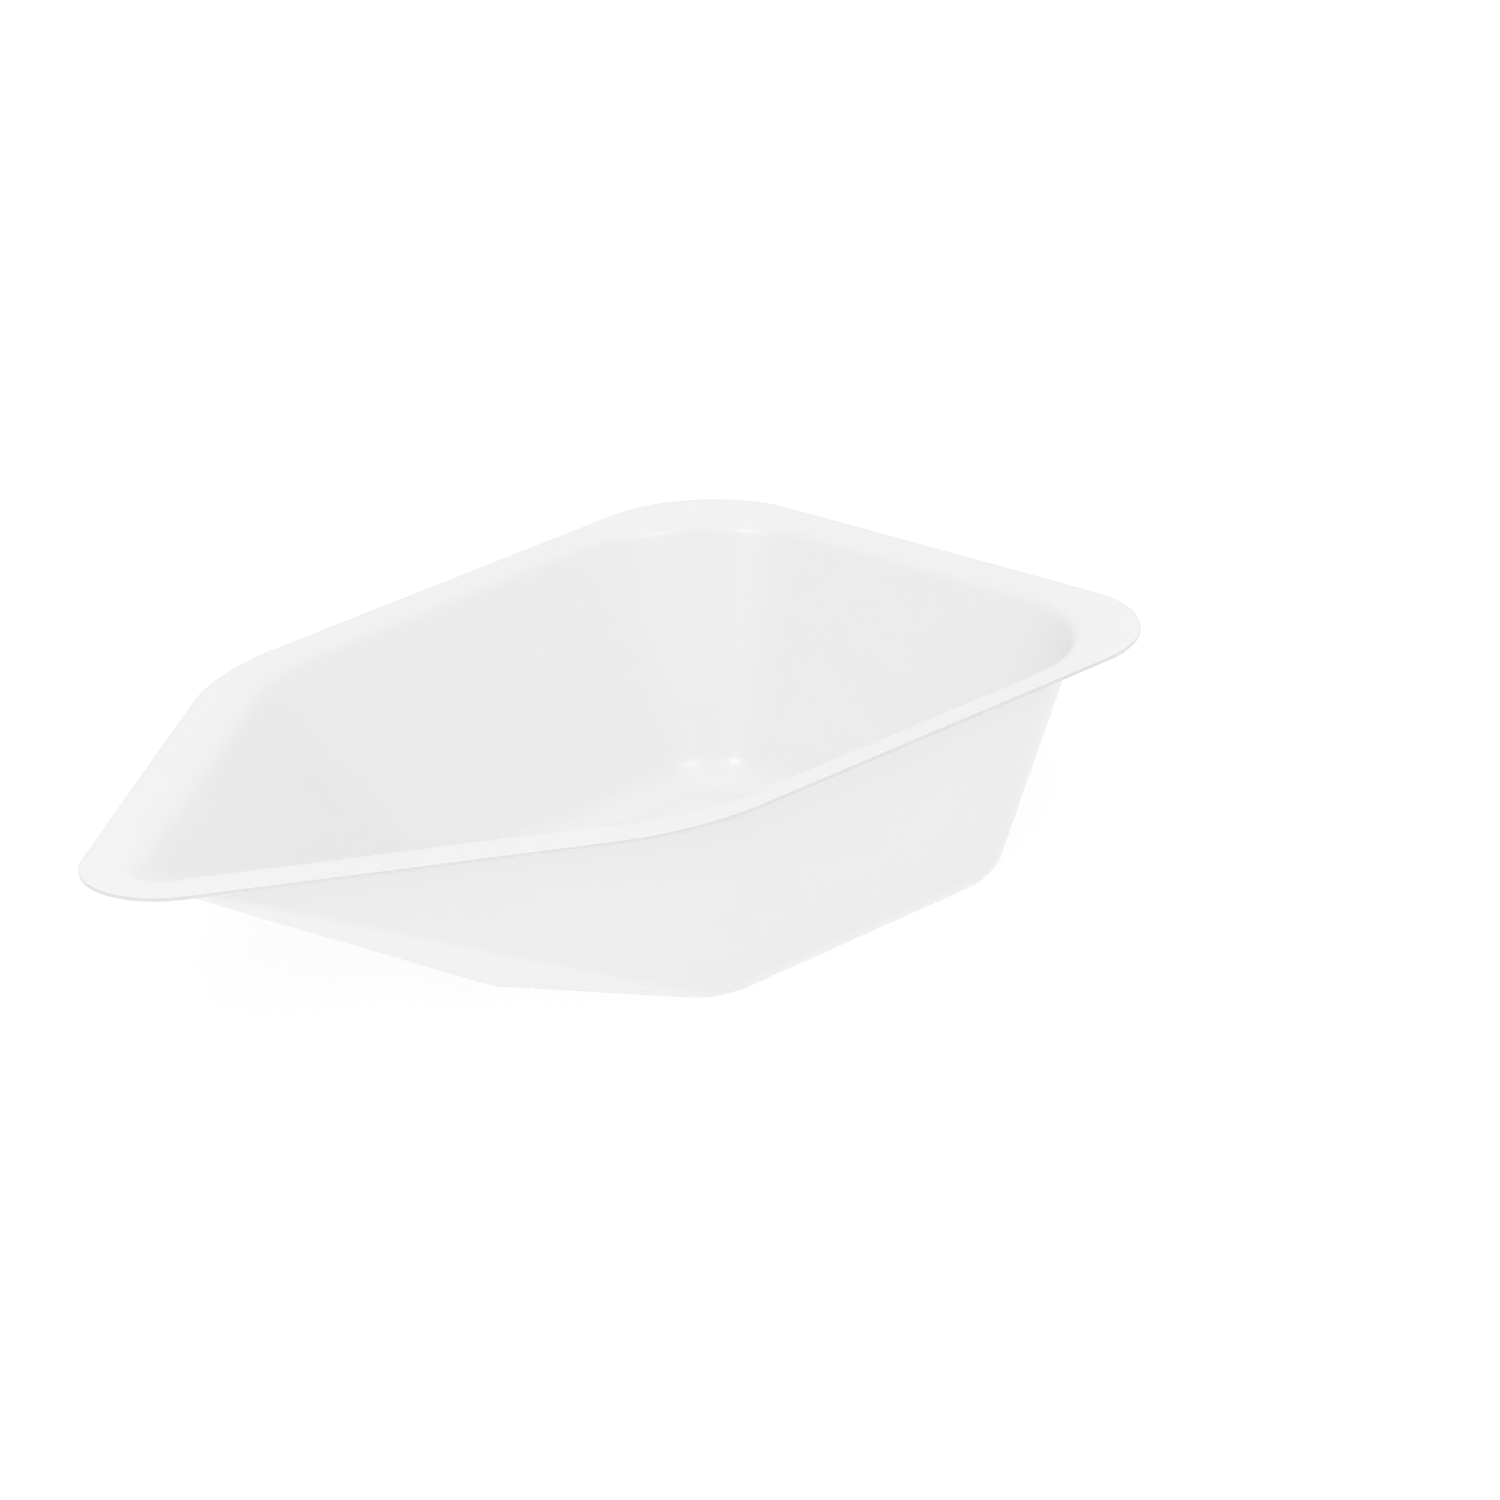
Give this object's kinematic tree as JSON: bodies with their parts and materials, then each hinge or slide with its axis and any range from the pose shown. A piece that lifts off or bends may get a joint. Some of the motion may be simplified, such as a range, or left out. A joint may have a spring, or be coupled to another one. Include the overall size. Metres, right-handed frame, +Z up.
{
  "type": "weighing boat",
  "caption": "Small disposable weighing boat of thin white plastic sheet: flat floor, sloping walls, flat rim and a pointed pouring end.",
  "frame": {"origin": "on the surface that the boat stands on, under the middle of its overall length and width", "axes": "+X towards the flat end and -X towards the pouring tip, +Y across, +Z up out of the open top"},
  "size_m": [0.056, 0.034, 0.013],
  "materials": {
    "sheet": "thin formed white polystyrene, smooth and softly glossy"
  },
  "bodies": {
    "root": {"boat": "sheet"}
  },
  "joints": []
}
